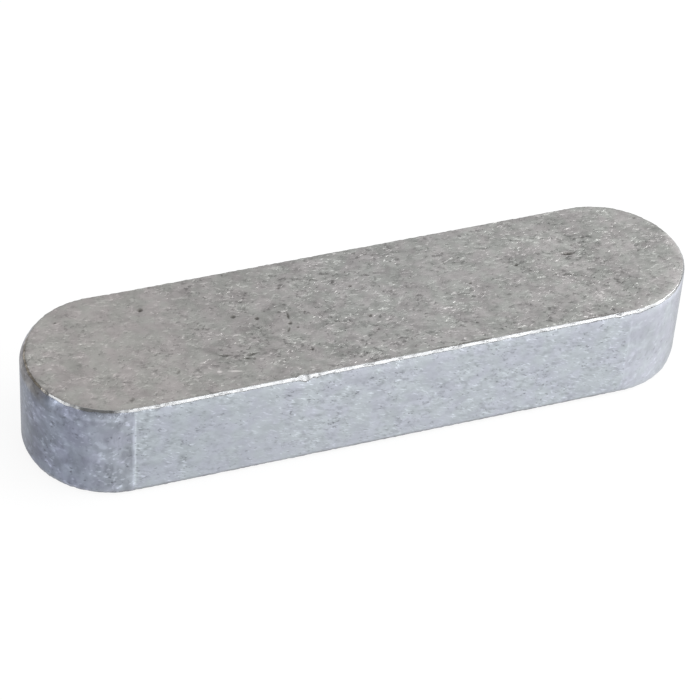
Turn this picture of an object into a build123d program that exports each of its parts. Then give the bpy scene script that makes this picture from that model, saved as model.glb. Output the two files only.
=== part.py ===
from build123d import *
import os

# Parallel key with two round ends, which locks a hub to its shaft.
#
# The lower half of the key lies in a slot milled into the shaft, and the upper half stands
# in the groove of the hub. The two flanks carry the turning load. The key is cut from one
# bar of drawn key steel, so it is one solid: its ends are milled to full half rounds, and
# the edges round both broad faces are broken.
#
# The origin is the middle of the seat, the broad face that lies in the shaft. +X runs
# along the key, +Y across it from flank to flank, and +Z up to the back in the hub.
# All sizes are in millimetres.

# Driving dimensions: the nominal sizes of a 16 x 10 x 63 key, for shafts of 50 to 58 mm
width = 16.0  # across the flanks, from wall to wall of the keyway
height = 10.0  # from the seat in the shaft to the back in the hub
length = 63.0  # over both round ends
edge_break = 0.5  # each leg of the 45 degree chamfer round the seat and the back

with BuildPart() as parallel_key:
    # The outline in plan: two straight flanks, joined by half rounds of the key's width
    with BuildSketch(Plane.XY) as outline:
        SlotOverall(length, width)
    extrude(amount=height)

    # The seat and the back are the two level faces, and their rims are every edge to break
    broad_faces = parallel_key.faces().filter_by(Axis.Z)
    chamfer(broad_faces.edges(), edge_break)

parallel_key.part.label = "parallel_key"

os.makedirs("parts", exist_ok=True)
export_step(parallel_key.part, "parts/parallel_key.step")
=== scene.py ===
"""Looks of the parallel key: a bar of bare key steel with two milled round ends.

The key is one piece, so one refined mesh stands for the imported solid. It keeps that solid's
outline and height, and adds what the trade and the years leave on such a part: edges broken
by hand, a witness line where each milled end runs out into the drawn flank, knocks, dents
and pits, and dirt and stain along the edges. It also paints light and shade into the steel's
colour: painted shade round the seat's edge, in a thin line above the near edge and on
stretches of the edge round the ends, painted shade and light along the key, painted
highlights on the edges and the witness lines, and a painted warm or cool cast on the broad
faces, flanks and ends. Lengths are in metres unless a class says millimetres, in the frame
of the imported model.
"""

import logging
import math
import random
from dataclasses import dataclass, field
from enum import Enum

import bmesh
import bpy
from mathutils import Matrix, Vector, kdtree, noise


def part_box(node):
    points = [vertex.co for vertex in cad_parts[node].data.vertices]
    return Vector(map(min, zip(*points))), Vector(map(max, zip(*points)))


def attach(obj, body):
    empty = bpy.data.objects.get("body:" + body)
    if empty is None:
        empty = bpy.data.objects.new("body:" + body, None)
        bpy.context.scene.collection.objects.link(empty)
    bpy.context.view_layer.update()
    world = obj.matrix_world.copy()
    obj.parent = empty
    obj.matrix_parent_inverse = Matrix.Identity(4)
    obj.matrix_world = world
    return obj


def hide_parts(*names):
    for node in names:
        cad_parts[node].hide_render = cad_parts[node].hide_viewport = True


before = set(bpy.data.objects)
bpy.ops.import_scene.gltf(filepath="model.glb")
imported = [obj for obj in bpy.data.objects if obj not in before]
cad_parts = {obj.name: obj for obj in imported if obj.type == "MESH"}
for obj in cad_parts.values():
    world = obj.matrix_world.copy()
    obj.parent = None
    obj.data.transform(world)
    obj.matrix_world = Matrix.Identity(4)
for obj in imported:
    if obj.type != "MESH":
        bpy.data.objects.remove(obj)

log = logging.getLogger("parallel_key")

MM = 0.001
KEY_NODE = "parallel_key"
PIECE = "key_steel_bar"

# The mesh's own layers: how dark each vertex is with dirt and painted shade, how much brighter
# it is with polish and painted highlights, how stained it is, and which ring of the rim it is in.
DIRT_AND_SHADE = "dirt_and_shade"
POLISH_AND_HIGHLIGHT = "polish_and_highlight"
STAIN = "stain"
RING = "ring"

Socket = bpy.types.NodeSocket
Pair = tuple[float, float]
Triple = tuple[float, float, float]
Colour = Triple


def put_in_scene(name: str, data: bpy.types.ID) -> bpy.types.Object:
    """Makes an object and puts it in the scene.

    Args:
        name: the object's name.
        data: its mesh, lamp or camera.

    Returns:
        The object, at the origin.
    """
    made = bpy.data.objects.new(name, data)
    bpy.context.scene.collection.objects.link(made)
    return made


class Surface(Enum):
    """The kinds of surface on the key, in the order of the mesh's material slots."""

    BROAD_FACE = 0
    BROKEN_EDGE = 1
    DRAWN_FLANK = 2
    MILLED_END = 3


# --- Materials ---


class NodeSheet:
    """A node tree under construction, with one short call for each kind of node in use."""

    def __init__(self, tree: bpy.types.NodeTree) -> None:
        """Empties the tree.

        Args:
            tree: the material's or world's own node tree.
        """
        self.tree = tree
        tree.nodes.clear()

    def add(self, kind: str, **settings: object) -> bpy.types.Node:
        """Adds one node.

        Args:
            kind: the node's type name in Blender, without its ShaderNode prefix.
            settings: properties of the node, by name.

        Returns:
            The new node.
        """
        node = self.tree.nodes.new("ShaderNode" + kind)
        for name, value in settings.items():
            setattr(node, name, value)
        return node

    def feed(self, socket: Socket, value: object) -> None:
        """Joins a socket to another one, or sets it to a plain value.

        Args:
            socket: the input that is fed.
            value: another node's output, or a plain value.
        """
        if isinstance(value, bpy.types.NodeSocket):
            self.tree.links.new(value, socket)
        else:
            socket.default_value = value

    def math(self, operation: str, *values: object, clamp: bool = False) -> Socket:
        """Adds a Math node.

        Args:
            operation: the node's operation, such as MULTIPLY.
            values: what goes into its inputs, as sockets or numbers.
            clamp: keeps the result between 0 and 1.

        Returns:
            The node's output.
        """
        node = self.add("Math", operation=operation, use_clamp=clamp)
        for socket, value in zip(node.inputs, values):
            self.feed(socket, value)
        return node.outputs[0]

    def ramp(self, value: Socket, low: float, high: float, start: float = 0.0, end: float = 1.0) -> Socket:
        """Maps a value smoothly from one span to another, held level outside it.

        Args:
            value: the socket that is mapped.
            low: the value that gives start.
            high: the value that gives end.
            start: the result at low.
            end: the result at high.

        Returns:
            The mapped value.
        """
        node = self.add("MapRange", interpolation_type="SMOOTHSTEP")
        for name, number in (("From Min", low), ("From Max", high), ("To Min", start), ("To Max", end)):
            node.inputs[name].default_value = number
        self.feed(node.inputs["Value"], value)
        return node.outputs["Result"]

    def blend(self, share: object, under: object, over: object, mode: str = "MIX") -> Socket:
        """Mixes two colours.

        Args:
            share: how much of the upper colour shows, as a socket or number.
            under: the colour at a share of 0.
            over: the colour at a share of 1.
            mode: the blend mode.

        Returns:
            The mixed colour.
        """
        node = self.add("Mix", data_type="RGBA", blend_type=mode)
        self.feed(node.inputs[0], share)
        self.feed(node.inputs[6], under if isinstance(under, bpy.types.NodeSocket) else (*under, 1.0))
        self.feed(node.inputs[7], over if isinstance(over, bpy.types.NodeSocket) else (*over, 1.0))
        return node.outputs[2]

    def place(self, turn: Vector = Vector(), stretch: Vector = Vector((1.0, 1.0, 1.0))) -> Socket:
        """Gives the object's own coordinates in millimetres, turned and stretched.

        Args:
            turn: the turn about each axis, in radians.
            stretch: how much finer the pattern is along each axis.

        Returns:
            The coordinates.
        """
        place = self.add("TexCoord").outputs["Object"]
        turned = self.add("Mapping", vector_type="TEXTURE")
        turned.inputs["Rotation"].default_value = turn
        self.feed(turned.inputs["Vector"], place)
        sized = self.add("Mapping")
        sized.inputs["Scale"].default_value = stretch / MM
        self.feed(sized.inputs["Vector"], turned.outputs["Vector"])
        return sized.outputs["Vector"]

    def grain(self, where: Socket, size: float, detail: float = 2.0, roughness: float = 0.5) -> Socket:
        """Adds a Noise texture.

        Args:
            where: the coordinates, in millimetres.
            size: the size of its features, in millimetres.
            detail: the number of finer layers.
            roughness: how strong those layers are.

        Returns:
            The noise, about 0.5.
        """
        node = self.add("TexNoise")
        for name, number in (("Scale", 1.0 / size), ("Detail", detail), ("Roughness", roughness)):
            node.inputs[name].default_value = number
        self.feed(node.inputs["Vector"], where)
        return node.outputs["Fac"]


# The span of noise over which a patch of marks begins, and how strong the marks are outside
# and inside it.
PATCH_NOISE = (0.42, 0.58)
PATCH_SHARES = (0.15, 1.0)


@dataclass(frozen=True)
class Marks:
    """One kind of small mark in the steel's skin, cut out of a noise by its peaks.

    Attributes:
        size: how wide a mark is, in millimetres.
        stretch: how many times longer than wide it is.
        turn: the way the marks lie, in degrees from the key's length.
        start: the noise at which a mark begins.
        full: the noise at which it is at its strongest.
        tone: what a full mark adds to the steel's brightness, as a share.
        relief: how far a full mark stands out, in millimetres.
        patch: the size of the patches that the marks keep to, in millimetres, or 0 for none.
        sides: turns the marks for the flanks and ends instead of the broad faces.
    """

    size: float
    stretch: float
    turn: float
    start: float
    full: float
    tone: float
    relief: float = 0.0
    patch: float = 0.0
    sides: bool = False

    def cut(self, sheet: NodeSheet) -> Socket:
        """Builds the marks.

        Args:
            sheet: the material's node sheet.

        Returns:
            Their mask, from 0 to 1.
        """
        angle = math.radians(self.turn)
        turn = Vector((0.0, angle, 0.0)) if self.sides else Vector((0.0, 0.0, angle))
        along = 1.0 / self.stretch
        where = sheet.place(turn, Vector((along, along if self.sides else 1.0, 1.0)))
        mask = sheet.ramp(sheet.grain(where, self.size), self.start, self.full)
        if self.patch:
            patches = sheet.ramp(sheet.grain(sheet.place(), self.patch), *PATCH_NOISE, *PATCH_SHARES)
            mask = sheet.math("MULTIPLY", mask, patches)
        return mask


@dataclass(frozen=True)
class SteelFinish:
    """Bare steel with a skin of fine marks, for one kind of surface of the key.

    Sizes and places are in millimetres.

    Attributes:
        name: the material's name.
        colour: the clean steel's colour, with a painted cast of the light: warm on the broad faces, cooler
            and bluer on the flanks and ends.
        stray: the colour that it strays to in patches.
        dull: its roughness.
        clouds: how far broad patches change its brightness, as a share.
        marks: the small marks in its skin.
        left_share: the strength of the marks at the key's left end.
        right_share: the strength of the marks on the rest of it.
        painted_shading: the painted shade and painted light along the key, as places from its
        middle, from left to right, and what the colour is multiplied by there.
        left_end: the places where the left end's strength gives way to the rest's.
        faint_size: the size of the patches in which the marks are fainter or stronger.
        faint_noise: the noise between which they change.
        faint_shares: their strength in the faintest and the strongest patch.
        cloud_size: the size of the broad patches.
        stray_size: the size of the patches of the stray colour.
        stray_noise: the noise between which the colour changes.
        sheen_size: the size of the spots in which the roughness changes.
        sheen: how far it changes.
        dirt_and_shade_colour: the colour of the dirt and of the painted shade.
        stained: what a full stain multiplies the colour by.
    """

    name: str
    colour: Colour
    stray: Colour
    dull: float
    clouds: float
    marks: tuple[Marks, ...]
    left_share: float = 1.0
    right_share: float = 1.0
    painted_shading: tuple[tuple[float, Colour], ...] = ((0.0, (1.0, 1.0, 1.0)),)
    left_end: Pair = (-21.0, -12.0)
    faint_size: float = 5.0
    faint_noise: Pair = (0.35, 0.60)
    faint_shares: Pair = (0.70, 1.15)
    cloud_size: float = 4.5
    stray_size: float = 1.7
    stray_noise: Pair = (0.35, 0.65)
    sheen_size: float = 0.5
    sheen: float = 0.12
    dirt_and_shade_colour: Colour = (0.060, 0.054, 0.046)
    stained: Colour = (1.13, 1.00, 0.83)

    def tint(self, sheet: NodeSheet, along: Socket) -> object:
        """Builds the painted shade and painted light along the key.

        Args:
            sheet: the material's node sheet.
            along: the place along the key, in millimetres.

        Returns:
            What the colour is multiplied by, as a socket or a plain colour.
        """
        mixed: object = self.painted_shading[0][1]
        for (start, _), (end, colour) in zip(self.painted_shading, self.painted_shading[1:]):
            mixed = sheet.blend(sheet.ramp(along, start, end), mixed, colour)
        return mixed

    def skin(self, sheet: NodeSheet, where: Socket, along: Socket) -> tuple[Socket, object]:
        """Builds the clouds and the small marks.

        Args:
            sheet: the material's node sheet.
            where: the coordinates, in millimetres.
            along: the place along the key, in millimetres.

        Returns:
            What the steel's brightness is multiplied by, and the height of the skin.
        """
        worn = sheet.ramp(sheet.grain(where, self.faint_size, 3.0), *self.faint_noise, *self.faint_shares)
        side = sheet.ramp(along, *self.left_end, self.left_share, self.right_share)
        worn = sheet.math("MULTIPLY", worn, side)
        broad = sheet.grain(where, self.cloud_size, 3.0, 0.6)
        tone = sheet.math("MULTIPLY_ADD", sheet.math("SUBTRACT", broad, 0.5), 2 * self.clouds, 1.0)
        height: object = 0.0
        for kind in self.marks:
            mask = sheet.math("MULTIPLY", kind.cut(sheet), worn)
            tone = sheet.math("MULTIPLY", tone, sheet.math("MULTIPLY_ADD", mask, kind.tone, 1.0))
            if kind.relief:
                height = sheet.math("MULTIPLY_ADD", mask, kind.relief, height)
        return tone, height

    def paint(self, sheet: NodeSheet, where: Socket, along: Socket, tone: Socket) -> Socket:
        """Builds the colour, with the painted shade and light along the key, and the mesh's own dirt
        and painted shade, stain, and polish and painted highlights.

        Args:
            sheet: the material's node sheet.
            where: the coordinates, in millimetres.
            along: the place along the key, in millimetres.
            tone: what the steel's brightness is multiplied by.

        Returns:
            The colour.
        """
        dirt_and_shade = sheet.add("Attribute", attribute_name=DIRT_AND_SHADE).outputs["Fac"]
        polish_and_highlight = sheet.add("Attribute", attribute_name=POLISH_AND_HIGHLIGHT).outputs["Fac"]
        # The mesh's polish and painted highlights brighten the steel.
        tone = sheet.math("MULTIPLY", tone, sheet.math("ADD", polish_and_highlight, 1.0))
        shade = sheet.add("VectorMath", operation="SCALE")
        patches = sheet.ramp(sheet.grain(where, self.stray_size), *self.stray_noise)
        steel = sheet.blend(patches, self.colour, self.stray)
        # The painted shade and light along the key.
        steel = sheet.blend(1.0, steel, self.tint(sheet, along), "MULTIPLY")
        stain = sheet.add("Attribute", attribute_name=STAIN).outputs["Fac"]
        steel = sheet.blend(stain, steel, self.stained, "MULTIPLY")
        sheet.feed(shade.inputs[0], steel)
        sheet.feed(shade.inputs["Scale"], tone)
        # The mesh's dirt and painted shade darken it towards the dark colour.
        return sheet.blend(dirt_and_shade, shade.outputs[0], self.dirt_and_shade_colour)

    def material(self) -> bpy.types.Material:
        """Builds the material.

        Returns:
            The material, under the finish's name.
        """
        made = bpy.data.materials.new(self.name)
        made.use_nodes = True
        sheet = NodeSheet(made.node_tree)
        where = sheet.place()
        split = sheet.add("SeparateXYZ")
        sheet.feed(split.inputs[0], where)
        along = split.outputs["X"]
        tone, height = self.skin(sheet, where, along)
        colour = self.paint(sheet, where, along, tone)

        bump = sheet.add("Bump")
        bump.inputs["Strength"].default_value = 1.0
        bump.inputs["Distance"].default_value = MM
        sheet.feed(bump.inputs["Height"], height)

        shader = sheet.add("BsdfPrincipled")
        shader.inputs["Metallic"].default_value = 1.0
        spots = sheet.grain(where, self.sheen_size, 3.0)
        rough = sheet.math("MULTIPLY_ADD", spots, self.sheen, self.dull - self.sheen / 2)
        sheet.feed(shader.inputs["Roughness"], rough)
        sheet.feed(shader.inputs["Base Color"], colour)
        sheet.feed(shader.inputs["Normal"], bump.outputs[0])
        sheet.feed(sheet.add("OutputMaterial").inputs["Surface"], shader.outputs["BSDF"])
        return made


# --- The key ---


@dataclass(frozen=True)
class Knock:
    """A knock on the edge, which has spread the facet over a short stretch.

    Attributes:
        place: where it is on the outline, in millimetres.
        spread: half its length, in millimetres.
        growth: how much wider it leaves the facet's leg, in millimetres.
    """

    place: Pair
    spread: float
    growth: float

    def widen(self, place: Vector) -> float:
        """Tells how much wider the facet's leg is at a place, in metres."""
        gap = (place.to_2d() - Vector(self.place) * MM).length / (self.spread * MM)
        return self.growth * MM * math.exp(-gap * gap)


# The number of the mesh's rings on the level face along the break, and how far down the
# facet each of the facet's own rings lies.
LEVEL_RINGS = 3
FACET_SHARES = (0.2, 0.8, 1.0)
FACET_RINGS = len(FACET_SHARES)

# How near to a line a place counts as on it, and how near to another a vertex is merged.
TOUCH = MM / 100
MERGE = MM / 1000

# Keeps an edge's quick strays from running along with its slow ones.
QUICK_SHIFT = Vector((7.0, 3.0, 0.0))

KNOCKS = (
    Knock((-7.8, -8.0), 0.40, 0.30),
    Knock((-6.7, -8.0), 0.16, 0.13),
    Knock((-9.6, -8.0), 0.50, 0.04),
    Knock((10.2, -8.0), 0.50, 0.04),
    Knock((22.4, -8.0), 0.30, 0.06),
    Knock((3.1, 8.0), 0.45, 0.09),
    Knock((-15.4, 8.0), 0.30, 0.07),
    Knock((18.6, 8.0), 0.60, 0.05),
)


def smooth_share(value: float, start: float, end: float) -> float:
    """Tells how far a value has come from start to end, eased at both, from 0 to 1."""
    share = max(0.0, min(1.0, (value - start) / (end - start)))
    return share * share * (3.0 - 2.0 * share)


def span_share(value: float, span: tuple[float, ...]) -> float:
    """Tells how far a value lies within a span, from 0 to 1.

    Args:
        value: the value.
        span: where the share begins to rise, is full, begins to fall and is gone, or nothing
            for a share of 0 everywhere.

    Returns:
        The share.
    """
    if not span:
        return 0.0
    start, full, fade, end = span
    return min(smooth_share(value, start, full), 1.0 - smooth_share(value, fade, end))


@dataclass(frozen=True)
class Spots:
    """A share that strays from spot to spot.

    Attributes:
        size: the size of the spots.
        mean: the share's middle value.
        swing: how far it strays from that.
    """

    size: float
    mean: float
    swing: float

    def at(self, place: Vector) -> float:
        """Gives the share at a place."""
        return self.mean + self.swing * noise.noise(place / self.size)


@dataclass(frozen=True)
class BrokenEdge:
    """The break round a broad face: a narrow facet, and a round that runs into the flank.

    A triple of values holds for the left end, the straight sides and the right end.

    Attributes:
        near_insets: how far in from the outline the level face ends on the near side.
        far_insets: the same on the far side.
        facets: the leg of the facet, which lies at 45 degrees.
        border: the width of each of the two rings of the level face along it.
        depth: how far down the break ends on the flank.
        waver: how far the facet's leg strays along the edge.
        ragged: how far the facet's upper border strays.
        rounds: the number of rings on the round.
        bend: how fast the round turns upright, where 1 is a straight slope.
        crowding: how much its rings crowd towards the facet, where 1 is not at all.
        beat: the length over which the facet's leg strays.
        quick_beat: the length over which it and the ragged border stray quickly.
        knocks: the knocks along it.
        knock_lift: how far a knock moves the facet's upper border in, as a share of its growth.
        left_ease: how far left of the middle the straight sides' values begin to give way to
            the left end's, and where they have.
        right_ease: the same on the right.
        across_ease: where along +Y the near side's values give way to the far side's.
    """

    near_insets: Triple = (0.58 * MM, 0.44 * MM, 0.19 * MM)
    far_insets: Triple = (0.47 * MM, 0.61 * MM, 0.57 * MM)
    facets: Triple = (0.17 * MM, 0.25 * MM, 0.14 * MM)
    border: float = 0.08 * MM
    depth: float = 0.82 * MM
    waver: float = 0.12 * MM
    ragged: float = 0.08 * MM
    rounds: int = 5
    bend: float = 1.4
    crowding: float = 1.5
    beat: float = 1.0 * MM
    quick_beat: float = 0.35 * MM
    knocks: tuple[Knock, ...] = KNOCKS
    knock_lift: float = 0.6
    left_ease: Pair = (20 * MM, 27 * MM)
    right_ease: Pair = (24 * MM, 29 * MM)
    across_ease: Pair = (-3 * MM, 8 * MM)

    @property
    def start(self) -> float:
        """How far in from the outline the plain level face ends."""
        widest = max(self.near_insets + self.far_insets) + 2 * self.ragged
        return widest + (LEVEL_RINGS - 1) * self.border

    def spread(self, values: Triple, place: Vector) -> float:
        """Eases a value from the left end over the straight sides to the right end.

        Args:
            values: the value at the left end, on the straight sides and at the right end.
            place: the place to look at.

        Returns:
            The value there.
        """
        left = smooth_share(-place.x, *self.left_ease)
        right = smooth_share(place.x, *self.right_ease)
        return values[0] * left + values[1] * (1.0 - left - right) + values[2] * right

    def section(self, place: Vector) -> list[Pair]:
        """Gives the break's section at a place on the outline.

        Args:
            place: the place, in metres.

        Returns:
            Points from the level face to the flank, each as the distance in from the
            outline and the distance down from the level face. LEVEL_RINGS of them lie on
            the level face, and FACET_RINGS on the facet.
        """
        slow = noise.noise(place / self.beat)
        quick = noise.noise(place / self.quick_beat + QUICK_SHIFT)
        growth = sum(knock.widen(place) for knock in self.knocks)
        facet = self.spread(self.facets, place) + self.waver * (slow + quick) / 2 + growth
        near, far = self.spread(self.near_insets, place), self.spread(self.far_insets, place)
        upper = near + (far - near) * smooth_share(place.y, *self.across_ease)
        upper += self.ragged * quick + self.knock_lift * growth
        reach = max(0.0, upper - facet)
        points = [(upper + ring * self.border, 0.0) for ring in reversed(range(LEVEL_RINGS))]
        points += [(upper - share * (upper - reach), share * facet) for share in FACET_SHARES]
        for step in range(1, self.rounds + 1):
            share = (step / self.rounds) ** self.crowding
            points.append((reach * (1.0 - share) ** self.bend, facet + share * (self.depth - facet)))
        return points


# The seat's edge is broken more evenly than the back's, and hardly knocked.
SEAT_EDGE = BrokenEdge(
    near_insets=(0.40 * MM, 0.38 * MM, 0.26 * MM),
    facets=(0.15 * MM, 0.19 * MM, 0.15 * MM),
    knocks=(Knock((-6.5, -8.0), 0.40, 0.05), Knock((13.4, -8.0), 0.50, 0.05)),
)


@dataclass(frozen=True)
class Dent:
    """A pit, dent or scratch from handling, pressed into one of the faces.

    Attributes:
        place: its middle, in millimetres.
        width: its width, in millimetres.
        depth: its depth, in millimetres.
        length: its length, in millimetres, or 0 for a round one.
        turn: the way a long one lies on a broad face, in degrees from the key's length.
        dirt_and_shade: how dark the dirt in it is, from 0 to 1.
        shine: how much brighter a fresh one is than the steel round it, as a share.
    """

    place: Triple
    width: float
    depth: float
    length: float = 0.0
    turn: float = 0.0
    dirt_and_shade: float = 0.5
    shine: float = 0.0

    def share(self, at: Vector) -> float:
        """Tells how deep the dent is at a place.

        Args:
            at: the place, in metres.

        Returns:
            The depth there, as a share of the dent's own.
        """
        gap = (at - Vector(self.place) * MM) / MM
        gap.rotate(Matrix.Rotation(-math.radians(self.turn), 3, "Z"))
        half = max(self.width, self.length) / 2
        reach = Vector((gap.x * self.width / 2 / half, gap.y, gap.z)).length / (self.width / 2)
        return (1.0 - reach * reach) ** 2 if reach < 1.0 else 0.0


FACE_MARKS = (
    Marks(1.6, 1.3, -15.0, 0.35, 0.65, -0.12),
    Marks(0.7, 1.2, -15.0, 0.40, 0.68, -0.14, -0.010),
    Marks(0.42, 1.3, -18.0, 0.53, 0.71, -0.31, -0.018, 2.4),
    Marks(0.29, 1.2, -40.0, 0.60, 0.76, -0.34, -0.016, 1.4),
    Marks(0.36, 1.6, -10.0, 0.55, 0.70, 0.29, -0.023, 1.8),
    Marks(0.31, 1.6, -38.0, 0.57, 0.72, 0.29, -0.021, 1.5),
    Marks(0.31, 1.6, 20.0, 0.58, 0.73, 0.27, -0.021, 2.0),
)
# Painted shade and light along the broad faces: darker left of the middle, brighter towards the right end.
FACE_PAINTED_SHADING = (
    (-24.0, (1.01, 0.992, 0.986)),
    (-12.0, (0.97, 0.967, 0.967)),
    (2.0, (1.035, 1.045, 1.05)),
    (26.0, (1.08, 1.09, 1.09)),
)
SIDE_MARKS = (
    Marks(0.9, 1.8, 0.0, 0.38, 0.66, -0.10, -0.004, 0.0, True),
    Marks(0.40, 1.8, 20.0, 0.45, 0.68, -0.18, -0.010, 2.2, True),
    Marks(0.21, 3.8, 18.0, 0.55, 0.71, 0.33, 0.013, 1.8, True),
    Marks(0.19, 3.2, 34.0, 0.56, 0.72, 0.28, 0.013, 1.6, True),
    Marks(0.19, 1.8, 12.0, 0.58, 0.73, -0.40, -0.013, 1.5, True),
)
# Painted shade and light along the flanks: darker towards the left end, brighter towards the right end.
SIDE_PAINTED_SHADING = (
    (-24.0, (0.90, 0.91, 0.92)),
    (-8.0, (1.00, 1.00, 1.00)),
    (24.0, (1.03, 1.03, 1.03)),
)
END_MARKS = (
    Marks(1.1, 1.6, 90.0, 0.38, 0.64, -0.18, 0.0, 0.0, True),
    Marks(0.8, 1.3, 0.0, 0.50, 0.70, 0.24, 0.0, 3.0, True),
    Marks(0.35, 3.0, 90.0, 0.45, 0.70, -0.12, -0.004, 2.5, True),
    Marks(0.36, 1.5, -30.0, 0.55, 0.70, 0.36, 0.012, 1.8, True),
    Marks(0.34, 1.3, -26.0, 0.57, 0.72, -0.32, -0.012, 1.6, True),
)
# Painted shade along the milled ends: much darker and bluer at the left end's tip, and darker at the right
# end's tip.
END_PAINTED_SHADING = (
    (-31.5, (0.340, 0.357, 0.408)),
    (-29.5, (0.455, 0.474, 0.538)),
    (-23.5, (0.76, 0.77, 0.80)),
    (-18.0, (1.00, 1.00, 1.00)),
    (23.4, (0.94, 0.945, 0.945)),
    (26.0, (1.03, 1.03, 1.03)),
    (27.5, (1.02, 1.02, 1.02)),
    (31.0, (0.67, 0.67, 0.67)),
)

# The broad faces' warm colour and the flanks' and ends' cooler, bluer colour are partly a painted cast of
# the light, warm on the faces that look up and cool on the sides.
FINISHES = {
    Surface.BROAD_FACE: SteelFinish(
        name="ground_broad_face",
        colour=(0.492, 0.472, 0.468),
        stray=(0.474, 0.477, 0.459),
        dull=0.45,
        clouds=0.15,
        marks=FACE_MARKS,
        left_share=0.76,
        right_share=1.28,
        painted_shading=FACE_PAINTED_SHADING,
    ),
    Surface.BROKEN_EDGE: SteelFinish(
        name="broken_edge",
        colour=(0.390, 0.397, 0.405),
        stray=(0.360, 0.367, 0.375),
        dull=0.28,
        clouds=0.10,
        marks=(Marks(0.5, 2.0, 0.0, 0.52, 0.72, -0.30, -0.01),),
    ),
    Surface.DRAWN_FLANK: SteelFinish(
        name="drawn_flank",
        colour=(0.530, 0.555, 0.618),
        stray=(0.530, 0.570, 0.606),
        dull=0.45,
        clouds=0.12,
        marks=SIDE_MARKS,
        left_share=1.12,
        right_share=1.06,
        painted_shading=SIDE_PAINTED_SHADING,
    ),
    Surface.MILLED_END: SteelFinish(
        name="milled_end",
        colour=(0.575, 0.594, 0.665),
        stray=(0.578, 0.614, 0.660),
        dull=0.40,
        clouds=0.20,
        marks=END_MARKS,
        left_share=1.30,
        right_share=0.62,
        painted_shading=END_PAINTED_SHADING,
    ),
}


# The angle over which a darker or brighter stretch of the edge begins and ends, in degrees.
EDGE_STRETCH_FADE = 5.0


@dataclass(frozen=True)
class EdgeWearAndShading:
    """A stretch of the broken edge at an end, darker with dirt and painted shade, brighter with
    painted highlights, or both.

    Attributes:
        start: the angle round the end at which it starts, in degrees from the key's length.
        end: the angle at which it ends.
        level: how much of the level face's border the dirt and painted shade cover.
        facet: how much of the facet the dirt and painted shade cover.
        below: how much of the round below the facet the dirt and painted shade cover.
        round_highlight: the painted highlight on the round, as how much brighter than elsewhere it is.
        shine: the painted highlight on the facet's lower side, as how much brighter than elsewhere it is.
        rim: the painted highlight on the level face's border, as how much brighter than elsewhere it is.
    """

    start: float
    end: float
    level: float
    facet: float
    below: float = 0.0
    round_highlight: float = 0.0
    shine: float = 0.0
    rim: float = 0.0

    def within(self, angle: float) -> float:
        """Tells how far an angle lies within the stretch, from 0 to 1."""
        inside = min(angle - self.start, self.end - angle)
        return smooth_share(inside, -EDGE_STRETCH_FADE / 2, EDGE_STRETCH_FADE / 2)


@dataclass(frozen=True)
class EndWearAndShading:
    """The wear and painted shading of one half of the key, where it isn't the same as the other's.

    Attributes:
        stretches: the stretches of the broken edge round the end with dirt and painted shade, and
        with painted highlights.
        witness_highlight: how much brighter than the steel the witness line's painted highlight is.
        seat_shade_drop: how much less painted shade the seat's edge has at the end, as a share.
        seat_ease: how far from the key's middle that begins, and where it is full.
        darkening_cut: how much of the dirt and painted shade is taken off the facet's lower side, as
        a share.
        highlight_ease: how far below the facet the stretches' painted highlight begins and is full,
        or nothing if it begins at once.
        stain_span: the angles at which a brown stain begins, is full, fades and is gone.
        rim_span: the same for the broad painted highlight on the rim of the level face.
        line_ease: the angles over which the thin painted dark line gives way, if it does.
    """

    stretches: tuple[EdgeWearAndShading, ...]
    witness_highlight: float
    seat_shade_drop: float
    seat_ease: Pair
    darkening_cut: float = 0.0
    highlight_ease: tuple[float, ...] = ()
    stain_span: tuple[float, ...] = ()
    rim_span: tuple[float, ...] = ()
    line_ease: tuple[float, ...] = ()


# The left end's edge: stretches of dirt and painted shade, and painted highlights on the round.
LEFT_WEAR_AND_SHADING = EndWearAndShading(
    stretches=(
        EdgeWearAndShading(120.0, 150.0, 0.00, 0.45),
        EdgeWearAndShading(150.0, 165.0, 0.34, 0.60, round_highlight=0.20),
        EdgeWearAndShading(165.0, 169.0, 0.38, 0.48, round_highlight=0.30),
        EdgeWearAndShading(169.0, 180.0, 0.36, 0.38, round_highlight=0.90),
        EdgeWearAndShading(180.0, 200.0, 0.30, 0.46, 0.04, 0.20),
        EdgeWearAndShading(200.0, 209.0, 0.34, 0.74, 0.16, 0.20),
        EdgeWearAndShading(209.0, 219.0, 0.32, 0.36, 0.04, 0.90),
        EdgeWearAndShading(219.0, 231.0, 0.32, 0.36, 0.10, 0.55),
        EdgeWearAndShading(232.0, 257.0, 0.15, 0.36, 0.10, 1.20),
        EdgeWearAndShading(257.0, 264.0, 0.00, 0.28, 0.05, 0.80),
        EdgeWearAndShading(264.0, 277.0, 0.00, 0.18, round_highlight=0.30),
    ),
    witness_highlight=0.34,
    seat_shade_drop=0.5,
    seat_ease=(24 * MM, 27 * MM),
    highlight_ease=(0.04 * MM, 0.34 * MM),
    stain_span=(140.0, 154.0, 196.0, 212.0),
)
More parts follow.
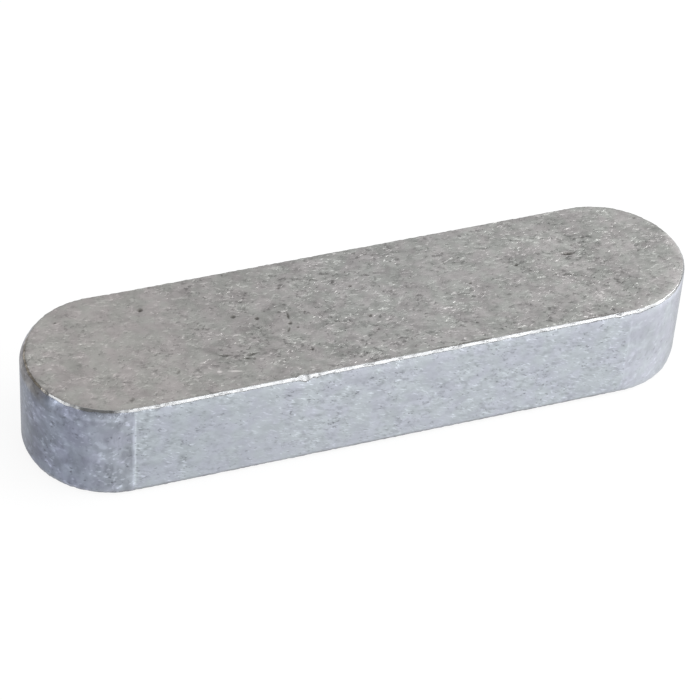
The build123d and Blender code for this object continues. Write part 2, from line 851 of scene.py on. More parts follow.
# The right end's edge: painted highlights on the facet, the round and the rim, with some dirt and painted
# shade on the facet.
RIGHT_WEAR_AND_SHADING = EndWearAndShading(
    stretches=(
        EdgeWearAndShading(290.0, 298.0, 0.00, 0.08, round_highlight=0.05, shine=0.10),
        EdgeWearAndShading(298.0, 314.0, 0.00, 0.55, round_highlight=0.20, shine=0.50),
        EdgeWearAndShading(314.0, 324.0, 0.00, 0.60, round_highlight=0.20, shine=0.60),
        EdgeWearAndShading(324.0, 345.0, 0.00, 0.20, round_highlight=0.12, shine=0.15),
        # The last two are one stretch over the tip, where the angle starts again from 0.
        EdgeWearAndShading(345.0, 362.0, 0.00, 0.00, round_highlight=0.40, shine=0.80, rim=0.30),
        EdgeWearAndShading(-2.0, 16.0, 0.00, 0.00, round_highlight=0.40, shine=0.80, rim=0.30),
    ),
    witness_highlight=0.10,
    seat_shade_drop=0.9,
    seat_ease=(21 * MM, 26 * MM),
    darkening_cut=0.8,
    rim_span=(276.0, 290.0, 338.0, 352.0),
    line_ease=(276.0, 288.0),
)

# The thick stretches of the thin dark line above the near edge, which is painted shade along
# the facet's upper border: where each starts and ends along the key, in millimetres from its
# middle, and how thick it is.
LINE_SHADE = (
    (-23.8, -12.4, 0.24),
    (-9.8, -8.2, 0.20),
    (-1.8, -0.4, 0.18),
    (4.0, 10.2, 0.62),
    (12.2, 16.0, 0.24),
    (18.2, 23.0, 0.55),
)


class Band(Enum):
    """The bands of the broken edge, from the level face down to the flank."""

    BORDER = "border"
    FACET = "facet"
    ROUND = "round"


@dataclass(frozen=True)
class EdgeSpot:
    """Where a place lies on the broken edge round the back.

    Attributes:
        at: the place.
        wear_and_shading: the wear and painted shading of the half of the key that it lies on.
        angle: its angle along the edge, in degrees round the nearer end.
        rounded: whether it lies on the round end itself.
        inset: how far in from the outline it lies.
        past: how far in from the facet's upper border it lies.
        rings: the same, as a number of rings of the level face.
        depth: how far below the level face it lies.
        below: how far below the facet it lies.
    """

    at: Vector
    wear_and_shading: EndWearAndShading
    angle: float
    rounded: bool
    inset: float
    past: float
    rings: float
    depth: float
    below: float

    @property
    def band(self) -> Band:
        """The band that the place lies on."""
        if self.depth < TOUCH:
            return Band.BORDER
        return Band.FACET if self.below < TOUCH else Band.ROUND


@dataclass(frozen=True)
class RimWearAndShading:
    """The dirt and painted shade, the stain and the painted highlights along the rims.

    Attributes:
        left: the wear and painted shading of the left half.
        right: the wear and painted shading of the right half.
        border_reach: how far in over the level face a stretch reaches.
        darkening_cut_height: how high above the facet's lower side its dirt and painted shade begin
        to be taken off.
        edge_spots: how uneven the dirt and painted shade of the stretches are.
        stain_depths: how far down the stain begins to fade, and where it is gone.
        line: the thick stretches of the thin painted dark line above the near edge.
        line_least: how thick the line is elsewhere.
        line_fade: the length over which a stretch begins and ends.
        line_ease: how far to the near side the line begins, and where it is full.
        far_share: the share of it on the far side.
        line_spots: how uneven it is.
        round_highlight: the painted highlight on the round all along the edge, as how much brighter it is.
        highlight_reach: how far below the facet the painted highlight ends.
        rim_highlight: how much brighter the broad painted highlight on the rim of the level face is.
        rim_insets: how far in from the outline that begins to fade, and where it is gone.
        seat_shade_strength: how dark the painted shade is on the edge round the seat, where the key
        meets the floor.
        seat_rises: how far up the flank that begins to fade, and where it is gone.
        seat_insets: the same for how far in under the seat.
        seat_spots: how uneven it is.
    """

    left: EndWearAndShading = LEFT_WEAR_AND_SHADING
    right: EndWearAndShading = RIGHT_WEAR_AND_SHADING
    border_reach: float = 0.40 * MM
    darkening_cut_height: float = 0.13 * MM
    edge_spots: Spots = Spots(0.8 * MM, 0.8, 0.4)
    stain_depths: Pair = (0.6 * MM, 1.3 * MM)
    line: tuple[Triple, ...] = LINE_SHADE
    line_least: float = 0.10
    line_fade: float = 1.6 * MM
    line_ease: Pair = (3 * MM, 6 * MM)
    far_share: float = 0.10
    line_spots: Spots = Spots(1.1 * MM, 0.9, 0.6)
    round_highlight: float = 0.20
    highlight_reach: float = 0.80 * MM
    rim_highlight: float = 0.32
    rim_insets: Pair = (0.6 * MM, 1.0 * MM)
    seat_shade_strength: float = 0.56
    seat_rises: Pair = (0.28 * MM, 0.60 * MM)
    seat_insets: Pair = (0.5 * MM, 1.3 * MM)
    seat_spots: Spots = Spots(1.2 * MM, 0.8, 0.4)

    def half(self, place: Vector) -> EndWearAndShading:
        """Picks the wear and painted shading of the half of the key that a place lies on."""
        return self.left if place.x < 0.0 else self.right

    def seat_shade(self, place: Vector, inset: float) -> float:
        """Tells how dark the painted shade is on the edge round the seat, where the key meets the floor.

        Args:
            place: the place to look at.
            inset: how far in from the outline it lies.

        Returns:
            The share of the steel that the painted shade covers.
        """
        fade = 1.0 - smooth_share(place.z, *self.seat_rises)
        fade *= 1.0 - smooth_share(inset, *self.seat_insets)
        half = self.half(place)
        along = 1.0 - half.seat_shade_drop * smooth_share(abs(place.x), *half.seat_ease)
        return self.seat_shade_strength * fade * along * self.seat_spots.at(place)

    def line_shade(self, spot: EdgeSpot) -> float:
        """Tells how thick the thin line of painted shade is on the level face's border.

        Args:
            spot: where to look.

        Returns:
            The share of the steel that the painted shade covers.
        """
        thick = self.line_least
        for start, end, strength in self.line:
            inside = min(spot.at.x - start * MM, end * MM - spot.at.x)
            thick = max(thick, strength * smooth_share(inside, -self.line_fade / 2, self.line_fade / 2))
        start, full = self.line_ease
        near = max(self.far_share, min(1.0, (-spot.at.y - start) / (full - start)))
        if spot.rounded and spot.wear_and_shading.line_ease:
            near *= 1.0 - smooth_share(spot.angle, *spot.wear_and_shading.line_ease)
        inward = max(0.0, min(1.0, LEVEL_RINGS - 1 - spot.rings))
        return thick * near * self.line_spots.at(spot.at) * inward

    def dirt_and_shade(self, spot: EdgeSpot) -> float:
        """Tells how thick the dirt and painted shade are on the broken edge round the back, with the
        thin painted dark line.

        Args:
            spot: where to look.

        Returns:
            The share of the steel that the dirt and painted shade cover.
        """
        darkening_cut = spot.wear_and_shading.darkening_cut * smooth_share(spot.below, -self.darkening_cut_height, 0.0)
        inward = max(0.0, min(1.0, 1.0 - spot.past / self.border_reach))
        thick = 0.0
        for wear_and_shading in spot.wear_and_shading.stretches:
            if spot.band is Band.BORDER:
                strength = wear_and_shading.level * inward
            elif spot.band is Band.FACET:
                strength = wear_and_shading.facet * (1.0 - darkening_cut)
            else:
                strength = wear_and_shading.below
            thick = max(thick, strength * wear_and_shading.within(spot.angle))
        thick *= self.edge_spots.at(spot.at)
        return max(thick, self.line_shade(spot)) if spot.band is Band.BORDER else thick

    def polish_and_highlight(self, spot: EdgeSpot) -> float:
        """Tells how bright the painted highlights on the edge round the back are.

        Args:
            spot: where to look.

        Returns:
            What the painted highlights add to the steel's brightness, as a share.
        """
        stretches, angle = spot.wear_and_shading.stretches, spot.angle
        if spot.band is Band.BORDER:
            narrow = sum(wear_and_shading.rim * wear_and_shading.within(angle) for wear_and_shading in stretches)
            narrow *= max(0.0, 1.0 - spot.past / self.border_reach)
            broad = self.rim_highlight * (1.0 - smooth_share(spot.inset, *self.rim_insets))
            broad *= span_share(angle, spot.wear_and_shading.rim_span) if spot.rounded else 0.0
            return max(broad, narrow)
        if spot.band is Band.FACET:
            lower = smooth_share(spot.depth, 0.0, spot.depth - spot.below)
            return sum(wear_and_shading.shine * wear_and_shading.within(angle) for wear_and_shading in stretches) * lower
        highlighted = sum(wear_and_shading.round_highlight * wear_and_shading.within(angle) for wear_and_shading in stretches)
        if spot.wear_and_shading.highlight_ease:
            highlighted *= smooth_share(spot.below, *spot.wear_and_shading.highlight_ease)
        return (self.round_highlight + highlighted) * max(0.0, 1.0 - spot.below / self.highlight_reach)

    def stain(self, spot: EdgeSpot) -> float:
        """Tells how strong the brown stain is on the edge round the back.

        Args:
            spot: where to look.

        Returns:
            The stain's strength, from 0 to 1.
        """
        if spot.band is Band.BORDER or not spot.rounded:
            return 0.0
        down = 1.0 - smooth_share(spot.depth, *self.stain_depths)
        return span_share(spot.angle, spot.wear_and_shading.stain_span) * down


DENTS = (
    Dent((-19.4, 4.6, 10.0), 0.65, 0.09, dirt_and_shade=0.80),
    Dent((-27.2, 5.0, 10.0), 0.38, 0.04),
    Dent((-23.3, -6.4, 10.0), 0.50, 0.06, 0.85, 60.0, 0.50),
    Dent((-18.4, -4.1, 10.0), 0.40, 0.04, 0.75, 60.0, 0.42),
    Dent((-11.6, 1.5, 10.0), 0.60, 0.07, dirt_and_shade=0.75),
    Dent((-9.6, 0.7, 10.0), 0.55, 0.07, dirt_and_shade=0.80),
    Dent((0.4, -1.7, 10.0), 0.50, 0.07, dirt_and_shade=0.75),
    Dent((-6.9, -0.7, 10.0), 0.50, 0.08, dirt_and_shade=0.80),
    Dent((-6.8, 0.3, 10.0), 0.30, 0.05, 1.20, 85.0, 0.70),
    Dent((-7.3, -1.5, 10.0), 0.30, 0.05, 0.90, 60.0, 0.60),
    Dent((-6.4, -1.4, 10.0), 0.34, 0.05, dirt_and_shade=0.65),
    Dent((-0.1, 2.6, 10.0), 0.45, 0.06, dirt_and_shade=0.60),
    Dent((-6.1, -4.5, 10.0), 0.50, 0.06, dirt_and_shade=0.60),
    Dent((0.5, -3.6, 10.0), 0.40, 0.05),
    Dent((20.9, 1.4, 10.0), 0.60, 0.10, 1.50, -8.0, 0.85),
    Dent((15.7, 1.2, 10.0), 0.48, 0.07, dirt_and_shade=0.75),
    Dent((10.7, 0.0, 10.0), 0.45, 0.06, dirt_and_shade=0.60),
    Dent((28.9, 4.5, 10.0), 0.40, 0.05),
    Dent((-6.5, 4.1, 10.0), 0.40, 0.05, dirt_and_shade=0.50),
    Dent((-14.7, 0.7, 10.0), 0.34, 0.03, dirt_and_shade=0.35),
    Dent((-5.2, 0.4, 10.0), 0.36, 0.04, dirt_and_shade=0.40),
    Dent((-11.5, -3.7, 10.0), 0.46, 0.04, 1.10, 4.0, 0.55),
    Dent((-12.0, -4.1, 10.0), 0.32, 0.03, 1.10, -16.0, 0.52),
    Dent((-11.4, -4.3, 10.0), 0.36, 0.03, dirt_and_shade=0.50),
    Dent((-13.7, -3.2, 10.0), 0.26, 0.03, 1.60, -16.0, 0.42),
    Dent((-14.9, -5.1, 10.0), 0.38, 0.01, 0.55, -16.0, 0.0, 0.80),
    Dent((-13.5, -5.4, 10.0), 0.32, 0.01, 1.70, -16.0, 0.0, 0.70),
)


class Side(Enum):
    """The sides of the key that a knock may hit."""

    BACK = "back"
    SEAT = "seat"
    RIM = "rim"


@dataclass(frozen=True)
class PartsBin:
    """The small dents that knocks in a parts bin leave all over the key.

    Lengths are in millimetres, and a pair holds the least and the most.

    Attributes:
        count: the number of dents.
        seed: the seed of the random draws.
        widths: how wide they are.
        depths: how deep they are.
        stretches: how many times longer than wide they are, each as likely as the next.
        rises: how far up the sides they lie, as shares of the key's height.
        clear: how far in from the outline they stay on the broad faces.
        dirt_and_shade: how dark the dirt in them is, from 0 to 1.
    """

    count: int = 70
    seed: int = 16
    widths: Pair = (0.18, 0.42)
    depths: Pair = (0.012, 0.032)
    stretches: tuple[float, ...] = (1.0, 1.0, 2.0)
    rises: Pair = (0.12, 0.88)
    clear: float = 1.0
    dirt_and_shade: float = 0.12

    def dents(self, length: float, width: float, height: float) -> tuple[Dent, ...]:
        """Scatters the dents over the key.

        Args:
            length: the key's length, in millimetres.
            width: its width, in millimetres.
            height: its height, in millimetres.

        Returns:
            The dents.
        """
        draw = random.Random(self.seed)
        reach, radius = (length - width) / 2, width / 2
        dents = []
        for _ in range(self.count):
            along, across = draw.uniform(-length / 2, length / 2), draw.uniform(-1.0, 1.0)
            side = draw.choice(tuple(Side))
            past = max(0.0, abs(along) - reach)
            half = math.sqrt(radius * radius - past * past)
            rise = draw.uniform(*self.rises) * height
            size, depth = draw.uniform(*self.widths), draw.uniform(*self.depths)
            if side is Side.RIM:
                place = (along, math.copysign(half, across), rise)
            else:
                place = (along, across * (half - self.clear), height if side is Side.BACK else 0.0)
            stretch, turn = draw.choice(self.stretches), draw.uniform(-90.0, 90.0)
            dents.append(Dent(place, size, depth, size * stretch, turn, self.dirt_and_shade))
        return tuple(dents)


def finder_of(places: list[Vector]) -> kdtree.KDTree:
    """Makes a finder for places.

    Args:
        places: the places.

    Returns:
        The finder, which numbers them in their order.
    """
    finder = kdtree.KDTree(len(places))
    for index, place in enumerate(places):
        finder.insert(place, index)
    finder.balance()
    return finder


# Where the borders of a witness line's groove and of its floor are cut, as shares of half the
# groove's width.
WITNESS_FLOOR = 0.4
WITNESS_CUTS = (-1.0, -WITNESS_FLOOR, WITNESS_FLOOR, 1.0)


@dataclass
class KeyBody:
    """The whole key, from a plain level face to a marked and dressed bar.

    Attributes:
        length: its length over both round ends.
        width: its width across the flanks.
        height: its height from the seat to the back.
        edge: the break round the back.
        seat_edge: the break round the seat.
        spacing: the size of the mesh's faces.
        witness_half: half the width of a witness line's groove.
        witness_depth: the groove's depth.
        witness_reach: how far in from the flank the groove's vertices lie at most.
        witness_spots: how uneven it is.
        witness_rises: how far up the flank its painted highlight begins, and where it is full.
        edge_zone: how far in and down from the outline the edge's wear and painted shading are
        looked for.
        wear_and_shading: the dirt, painted shade, stain and painted highlights along the rims.
        dents: the pits, dents and scratches that have their own places.
        parts_bin: the small dents that are scattered over the whole key.
        mesh: the mesh in the making.
    """

    length: float
    width: float
    height: float
    edge: BrokenEdge = BrokenEdge()
    seat_edge: BrokenEdge = SEAT_EDGE
    spacing: float = 0.25 * MM
    witness_half: float = 0.23 * MM
    witness_depth: float = 0.015 * MM
    witness_reach: float = 0.12 * MM
    witness_spots: Spots = Spots(0.9 * MM, 0.85, 0.35)
    witness_rises: Pair = (0.5 * MM, 1.5 * MM)
    edge_zone: float = 1.5 * MM
    wear_and_shading: RimWearAndShading = RimWearAndShading()
    dents: tuple[Dent, ...] = DENTS
    parts_bin: PartsBin = PartsBin()
    mesh: bmesh.types.BMesh = field(default_factory=bmesh.new)

    @property
    def radius(self) -> float:
        """The radius of the half round ends."""
        return self.width / 2

    @property
    def reach(self) -> float:
        """How far each end's centre lies from the middle of the key."""
        return self.length / 2 - self.radius

    def spine(self, place: Vector) -> Vector:
        """Gives the nearest place on the line that joins the centres of the ends."""
        return Vector((max(-self.reach, min(self.reach, place.x)), 0.0, 0.0))

    def outward(self, place: Vector) -> Vector:
        """Gives the level direction that points out of the outline at a place."""
        return Vector((place.x - self.spine(place).x, place.y, 0.0)).normalized()

    def foot(self, place: Vector) -> Vector:
        """Gives the nearest place on the outline, at no height."""
        return self.spine(place) + self.outward(place) * self.radius

    def draw_in(self, vertex: bmesh.types.BMVert, inset: float, rise: float) -> None:
        """Moves a vertex to a distance in from the outline, and to a height.

        Args:
            vertex: the vertex.
            inset: how far in from the outline it comes to lie.
            rise: its height.
        """
        vertex.co = self.spine(vertex.co) + self.outward(vertex.co) * (self.radius - inset)
        vertex.co.z = rise

    def lay_face(self) -> None:
        """Lays the level face: a grid of quads, drawn out at both ends to half discs."""
        rim_radius = self.radius - self.edge.start
        rows = 2 * round(rim_radius / self.spacing)
        end_columns = round(math.pi / 4 * rim_radius / self.spacing)
        columns = 2 * round(self.reach / self.spacing) + 2 * end_columns
        bmesh.ops.create_grid(self.mesh, x_segments=columns, y_segments=rows, size=1.0)
        straight = 1.0 - 2 * end_columns / columns
        for vertex in self.mesh.verts:
            along, across = vertex.co.x, vertex.co.y
            past = max(0.0, (abs(along) - straight) / (1.0 - straight))
            level = min(abs(along), straight) / straight * self.reach
            level += rim_radius * past * math.sqrt(1.0 - across * across / 2)
            vertex.co.x = math.copysign(level, along)
            vertex.co.y = rim_radius * across * math.sqrt(1.0 - past * past / 2)
            vertex.co.z = self.height / 2

    def drop_rim(self) -> None:
        """Draws the face's rim out and down in rings, over the broken edge to mid height."""
        mesh = self.mesh
        rim = [edge for edge in mesh.edges if edge.is_boundary]
        order = mesh.verts.layers.int[RING]
        sample = self.edge.section(Vector())
        flank = self.height / 2 - self.edge.depth
        rings = round(flank / self.spacing)
        for ring in range(len(sample) + rings):
            grown = bmesh.ops.extrude_edge_only(mesh, edges=rim)["geom"]
            moved = [item for item in grown if isinstance(item, bmesh.types.BMVert)]
            rim = [item for item in grown if isinstance(item, bmesh.types.BMEdge) and item.is_boundary]
            for vertex in moved:
                if ring < len(sample):
                    inset, depth = self.edge.section(self.foot(vertex.co))[ring]
                else:
                    inset, depth = 0.0, self.height / 2 - flank * (1.0 - (ring - len(sample) + 1) / rings)
                self.draw_in(vertex, inset, self.height / 2 - depth)
                vertex[order] = ring + 1
            for face in {face for edge in rim for face in edge.link_faces}:
                face.material_index = self.surface_of(ring, len(sample), face).value

    def surface_of(self, ring: int, edge_rings: int, face: bmesh.types.BMFace) -> Surface:
        """Tells which kind of surface a face in a ring of the rim belongs to.

        Args:
            ring: the ring, counted from the level face.
            edge_rings: the number of rings on the broken edge, which is not used.
            face: the face.

        Returns:
            The kind of surface.
        """
        if ring < LEVEL_RINGS:
            return Surface.BROAD_FACE
        if ring < LEVEL_RINGS + FACET_RINGS:
            return Surface.BROKEN_EDGE
        ended = abs(face.calc_center_median().x) > self.reach
        return Surface.MILLED_END if ended else Surface.DRAWN_FLANK

    def close(self) -> None:
        """Mirrors the upper half to a closed bar that stands on its seat."""
        mesh = self.mesh
        everything = mesh.verts[:] + mesh.edges[:] + mesh.faces[:]
        bmesh.ops.mirror(mesh, geom=everything, matrix=Matrix(), merge_dist=MERGE, axis="Z")
        bmesh.ops.translate(mesh, vec=(0.0, 0.0, self.height / 2), verts=mesh.verts)
        bmesh.ops.recalc_face_normals(mesh, faces=mesh.faces)

    def break_seat_edge(self) -> None:
        """Gives the edge round the seat its own break, in place of the back's mirrored one."""
        order = self.mesh.verts.layers.int[RING]
        rings = len(self.seat_edge.section(Vector()))
        for vertex in self.mesh.verts:
            ring = vertex[order]
            if vertex.co.z < self.height / 2 and 0 < ring <= rings:
                inset, rise = self.seat_edge.section(self.foot(vertex.co))[ring - 1]
                self.draw_in(vertex, inset, rise)

    def scribe_witness_lines(self) -> None:
        """Cuts the fine groove up the flanks where each milled end meets them, and paints a highlight along
        it.
        """
        mesh = self.mesh
        polish_and_highlight = mesh.verts.layers.float[POLISH_AND_HIGHLIGHT]
        for line in (-self.reach, self.reach):
            for share in WITNESS_CUTS:
                everything = mesh.verts[:] + mesh.edges[:] + mesh.faces[:]
                cut = (line + share * self.witness_half, 0.0, 0.0)
                bmesh.ops.bisect_plane(mesh, geom=everything, dist=MERGE, plane_co=cut, plane_no=(1, 0, 0))
            for vertex in mesh.verts:
                at = vertex.co
                on_floor = abs(at.x - line) < WITNESS_FLOOR * self.witness_half + TOUCH
                if on_floor and self.radius - abs(at.y) < self.witness_reach:
                    worn = self.witness_spots.at(at)
                    at.y -= math.copysign(self.witness_depth * worn, at.y)
                    # The witness line's brightness is a painted highlight along the groove.
                    shine = self.wear_and_shading.half(at).witness_highlight * worn
                    vertex[polish_and_highlight] = shine * smooth_share(at.z, *self.witness_rises)

    def press_dents(self, dents: tuple[Dent, ...]) -> None:
        """Refines the mesh round each dent, presses the dent in, and dirties or shines it.

        Args:
            dents: the dents, which may lie on any of the faces.
        """
        mesh = self.mesh
        for cuts in (1, 2):
            finder = finder_of([face.calc_center_median() for face in mesh.faces])
            near = set()
            for dent in dents:
                middle = Vector(dent.place) * MM
                reach = max(dent.width, dent.length) / 2 * MM + self.spacing / cuts
                near.update(index for _, index, _ in finder.find_range(middle, reach))
            mesh.faces.ensure_lookup_table()
            edges = {edge for index in near for edge in mesh.faces[index].edges}
            bmesh.ops.subdivide_edges(mesh, edges=list(edges), cuts=cuts, use_grid_fill=True)
        mesh.normal_update()
        mesh.verts.ensure_lookup_table()
        dirt_and_shade, polish_and_highlight = mesh.verts.layers.float[DIRT_AND_SHADE], mesh.verts.layers.float[POLISH_AND_HIGHLIGHT]
        finder = finder_of([vertex.co for vertex in mesh.verts])
        for dent in dents:
            middle = Vector(dent.place) * MM
            found = finder.find_range(middle, max(dent.width, dent.length) / 2 * MM)
            inward = -mesh.verts[finder.find(middle)[1]].normal
            for _, index, _ in found:
                vertex = mesh.verts[index]
                share = dent.share(vertex.co)
                vertex.co += inward * share * dent.depth * MM
                vertex[dirt_and_shade] = max(vertex[dirt_and_shade], dent.dirt_and_shade * math.sqrt(share))
                vertex[polish_and_highlight] = max(vertex[polish_and_highlight], dent.shine * math.sqrt(share))

    def soil_and_shade(self) -> None:
        """Sets the dirt and painted shade, the stain, and the painted highlights along the rims."""
        mesh = self.mesh
        dirt_and_shade, polish_and_highlight, stain = (mesh.verts.layers.float[name] for name in (DIRT_AND_SHADE, POLISH_AND_HIGHLIGHT, STAIN))
        for vertex in mesh.verts:
            at = vertex.co
            inset = self.radius - (at - self.spine(at)).to_2d().length
            # Round the seat, the darkening is painted shade where the key meets the floor.
            if at.z < self.wear_and_shading.seat_rises[1]:
                vertex[dirt_and_shade] = self.wear_and_shading.seat_shade(at, inset)
            # On the edge round the back: dirt and painted shade, stain and painted highlights.
            elif inset < self.edge_zone and self.height - at.z < self.edge_zone:
                spot = self.edge_spot(at, inset)
                vertex[dirt_and_shade] = self.wear_and_shading.dirt_and_shade(spot)
                vertex[stain] = self.wear_and_shading.stain(spot)
                vertex[polish_and_highlight] = max(vertex[polish_and_highlight], self.wear_and_shading.polish_and_highlight(spot))

    def edge_spot(self, place: Vector, inset: float) -> EdgeSpot:
        """Finds where a place lies on the broken edge round the back.

        Args:
            place: the place.
            inset: how far in from the outline it lies.

        Returns:
            The spot.
        """
        section = self.edge.section(self.foot(place))
        past = inset - section[LEVEL_RINGS - 1][0]
        depth = self.height - place.z
        return EdgeSpot(
            at=place,
            wear_and_shading=self.wear_and_shading.half(place),
            angle=self.edge_angle(place),
            rounded=abs(place.x) > self.reach,
            inset=inset,
            past=past,
            rings=past / self.edge.border,
            depth=depth,
            below=depth - section[LEVEL_RINGS + FACET_RINGS - 1][1],
        )

    def edge_angle(self, place: Vector) -> float:
        """Tells where along the edge a place lies.

        Args:
            place: the place.

        Returns:
            Its angle in degrees round the nearer end. It runs on along the straight sides, as
            if they went on round the end.
        """
        out = self.outward(place)
        angle = math.degrees(math.atan2(out.y, out.x)) % 360
        straight = max(0.0, self.reach - abs(place.x)) * math.copysign(1.0, place.x * place.y)
        return angle + math.degrees(straight / self.radius)

    def dress(self) -> bpy.types.Object:
        """Turns the mesh into the finished piece.

        Returns:
            The piece, with a material for each kind of surface.
        """
        for face in self.mesh.faces:
            face.smooth = True
        data = bpy.data.meshes.new(PIECE)
        self.mesh.to_mesh(data)
        self.mesh.free()
        for surface in Surface:
            data.materials.append(FINISHES[surface].material())
        return put_in_scene(PIECE, data)

    def build(self) -> bpy.types.Object:
        """Builds the key.

        Returns:
            The finished piece.
        """
        for name in (DIRT_AND_SHADE, POLISH_AND_HIGHLIGHT, STAIN):
            self.mesh.verts.layers.float.new(name)
        self.mesh.verts.layers.int.new(RING)
        self.lay_face()
        self.drop_rim()
        self.close()
        self.break_seat_edge()
        self.scribe_witness_lines()
        self.soil_and_shade()
        scattered = self.parts_bin.dents(self.length / MM, self.width / MM, self.height / MM)
        self.press_dents(self.dents + scattered)
        return self.dress()


# --- Studio ---


def aim(azimuth: float, elevation: float) -> Vector:
    """Gives the direction at an azimuth from the front, to the right, and an elevation, in degrees."""
    turn, rise = math.radians(azimuth), math.radians(elevation)
    return Vector((math.sin(turn) * math.cos(rise), -math.cos(turn) * math.cos(rise), math.sin(rise)))


@dataclass(frozen=True)
class SoftLamp:
    """A square or oblong studio lamp that faces the key.

    Attributes:
        name: its name.
        azimuth: its place round the key, in degrees from the front to the right.
        elevation: its height over the key, in degrees.
        distance: how far from the origin it hangs.
        width: its width.
        height: its height.
        watts: its power.
        tint: the colour of its light.
    """

    name: str
    azimuth: float
    elevation: float
    distance: float
    width: float
    height: float
    watts: float
    tint: Colour = (1.0, 1.0, 1.0)

    def hang(self) -> None:
        """Hangs the lamp in its place, turned to the origin."""
        lamp = bpy.data.lights.new(self.name, "AREA")
        lamp.shape = "RECTANGLE"
        lamp.size, lamp.size_y = self.width, self.height
        lamp.energy = self.watts
        lamp.color = self.tint
        holder = put_in_scene(self.name, lamp)
        toward = aim(self.azimuth, self.elevation)
        holder.location = toward * self.distance
        holder.rotation_euler = toward.to_track_quat("Z", "Y").to_euler()
        holder.visible_camera = False


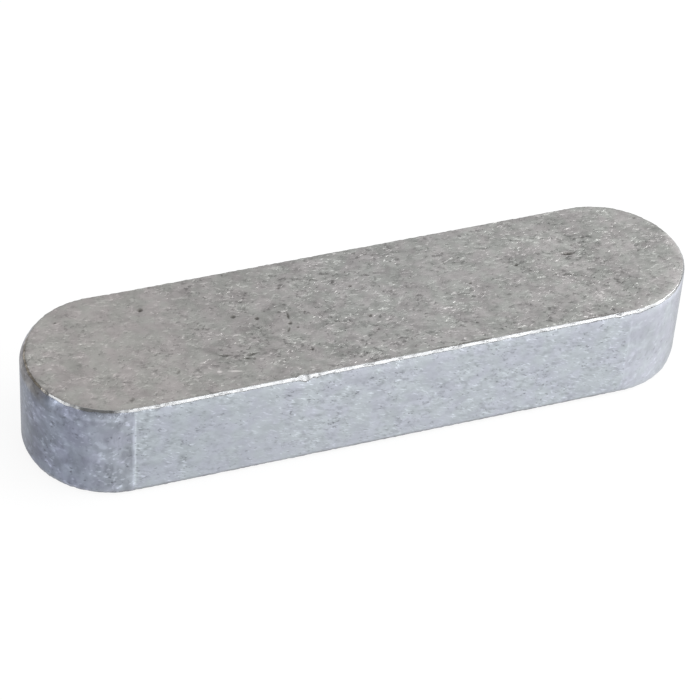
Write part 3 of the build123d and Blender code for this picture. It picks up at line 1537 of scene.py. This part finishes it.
@dataclass(frozen=True)
class Studio:
    """The white floor, the room's light and the lamps.

    Attributes:
        floor_size: the side of the floor.
        floor_glow: the light that the floor gives by itself, where it is seen or mirrored.
        floor_colour: how much of the lamps' light it returns there, with the key's shadow.
        floor_paint: how much of it returns for the light in the room.
        horizon: the height up to which the room is white, as the sine of the elevation.
        wall: the heights between which it is at its dimmest.
        ceiling: the height from which it is as bright as overhead.
        dimmest: the room's brightness between those heights, with white as 1.
        overhead: its brightness overhead.
        dim_side: the share of that on the left.
        bright_side: the share of it on the right.
        onlooker: the direction of the dark camera stand, as azimuth and elevation in degrees.
        onlooker_size: where its dark begins to fade and where it ends, in degrees.
        onlooker_dark: how dark it is.
        lamps: the lamps.
    """

    floor_size: float = 6.0
    floor_glow: float = 0.86
    floor_colour: float = 0.155
    floor_paint: float = 0.92
    horizon: float = 0.09
    wall: Pair = (0.22, 0.34)
    ceiling: float = 0.88
    dimmest: float = 0.50
    overhead: float = 1.05
    dim_side: float = 0.60
    bright_side: float = 1.12
    onlooker: Pair = (-27.0, 45.0)
    onlooker_size: Pair = (14.0, 26.0)
    onlooker_dark: float = 0.50
    lamps: tuple[SoftLamp, ...] = (
        SoftLamp("side_softbox", 78.0, 38.0, 0.6, 0.42, 0.25, 1.6),
        SoftLamp("edge_strip", 24.0, 44.0, 1.0, 0.77, 0.17, 1.64),
        SoftLamp("left_strip", -85.0, 34.0, 1.0, 0.60, 0.20, 1.5),
    )

    def lay_floor(self) -> bpy.types.Object:
        """Lays the floor, which is white where it is seen or mirrored and keeps the key's shadow.

        Returns:
            The floor.
        """
        mesh = bmesh.new()
        bmesh.ops.create_grid(mesh, x_segments=1, y_segments=1, size=self.floor_size / 2)
        data = bpy.data.meshes.new("floor")
        mesh.to_mesh(data)
        mesh.free()
        floor = put_in_scene("floor", data)
        paint = bpy.data.materials.new("floor_paint")
        paint.use_nodes = True
        sheet = NodeSheet(paint.node_tree)
        plain, white, shine = sheet.add("BsdfDiffuse"), sheet.add("BsdfDiffuse"), sheet.add("Emission")
        plain.inputs["Color"].default_value = (self.floor_paint, self.floor_paint, self.floor_paint, 1.0)
        white.inputs["Color"].default_value = (self.floor_colour, self.floor_colour, self.floor_colour, 1.0)
        shine.inputs["Strength"].default_value = self.floor_glow
        seen = sheet.add("AddShader")
        sheet.feed(seen.inputs[0], white.outputs[0])
        sheet.feed(seen.inputs[1], shine.outputs[0])
        path = sheet.add("LightPath").outputs
        shown = sheet.math("ADD", path["Is Camera Ray"], path["Is Glossy Ray"])
        shown = sheet.math("ADD", shown, path["Is Transmission Ray"], clamp=True)
        pick = sheet.add("MixShader")
        sheet.feed(pick.inputs[0], shown)
        sheet.feed(pick.inputs[1], plain.outputs[0])
        sheet.feed(pick.inputs[2], seen.outputs[0])
        sheet.feed(sheet.add("OutputMaterial").inputs["Surface"], pick.outputs[0])
        data.materials.append(paint)
        return floor

    def light_room(self) -> None:
        """Lights the room: white round the horizon, dim above it, and darkest at the onlooker."""
        world = bpy.data.worlds.new("room")
        bpy.context.scene.world = world
        world.use_nodes = True
        sheet = NodeSheet(world.node_tree)
        toward = sheet.add("TexCoord").outputs["Generated"]
        split = sheet.add("SeparateXYZ")
        sheet.feed(split.inputs[0], toward)
        side = sheet.ramp(split.outputs["X"], -1.0, 1.0, self.dim_side, self.bright_side)
        near = sheet.add("VectorMath", operation="DOT_PRODUCT")
        sheet.feed(near.inputs[0], toward)
        near.inputs[1].default_value = aim(*self.onlooker)
        inner, outer = (math.cos(math.radians(angle)) for angle in self.onlooker_size)
        shade = sheet.ramp(near.outputs["Value"], outer, inner, 1.0, 1.0 - self.onlooker_dark)
        low, high = self.wall
        height = split.outputs["Z"]
        above = sheet.ramp(height, high, self.ceiling, self.dimmest, self.overhead)
        above = sheet.math("MULTIPLY", sheet.math("MULTIPLY", above, side), shade)
        rise = sheet.ramp(height, self.horizon, low)
        room = sheet.add("Background")
        room.inputs["Color"].default_value = (1, 1, 1, 1)
        light = sheet.math("MULTIPLY_ADD", sheet.math("SUBTRACT", above, 1.0), rise, 1.0)
        sheet.feed(room.inputs["Strength"], light)
        sheet.feed(sheet.add("OutputWorld").inputs["Surface"], room.outputs[0])

    def build(self) -> None:
        """Sets up the floor, the room and the lamps."""
        self.lay_floor()
        self.light_room()
        for lamp in self.lamps:
            lamp.hang()
        bpy.context.scene.view_settings.view_transform = "Standard"


@dataclass(frozen=True)
class Viewpoint:
    """The camera: a long lens that looks down on the key from the front, left of its middle.

    Attributes:
        azimuth: its place round the key, in degrees from the front to the right.
        elevation: its height over the key, in degrees.
        roll: how far it leans, in degrees.
        distance: how far from the origin it stands.
        drift_right: how far right of its aim the origin lies.
        drift_up: how far above its aim the origin lies.
        lens: its focal length, in millimetres.
        sensor: the width of its sensor, in millimetres.
    """

    azimuth: float = -21.83
    elevation: float = 42.67
    roll: float = 4.09
    distance: float = 285.1 * MM
    drift_right: float = 0.386 * MM
    drift_up: float = -3.165 * MM
    lens: float = 157.96
    sensor: float = 36.0

    def build(self) -> bpy.types.Object:
        """Places the camera and makes it the scene's own.

        Returns:
            The camera.
        """
        lean = math.radians(self.roll)
        back = aim(self.azimuth, self.elevation)
        level = (-back).cross(Vector((0, 0, 1))).normalized()
        upright = level.cross(-back)
        right = math.cos(lean) * level + math.sin(lean) * upright
        up = -math.sin(lean) * level + math.cos(lean) * upright
        lens = bpy.data.cameras.new("studio_camera")
        lens.lens, lens.sensor_width = self.lens, self.sensor
        lens.clip_start, lens.clip_end = 0.01, 20.0
        camera = put_in_scene("studio_camera", lens)
        place = back * self.distance - right * self.drift_right - up * self.drift_up
        camera.matrix_world = Matrix.Translation(place) @ Matrix((right, up, back)).transposed().to_4x4()
        bpy.context.scene.camera = camera
        return camera


def main() -> None:
    """Builds the key, its studio and its camera, and reports each piece."""
    logging.basicConfig(level=logging.INFO, format="%(name)s: %(message)s")
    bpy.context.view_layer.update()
    low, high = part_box(KEY_NODE)
    size = high - low

    piece = KeyBody(length=size.x, width=size.y, height=size.z).build()
    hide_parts(KEY_NODE)
    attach(piece, "root")
    log.info("%s: %d faces", piece.name, len(piece.data.polygons))

    Studio().build()
    Viewpoint().build()


if __name__ == "__main__":
    main()
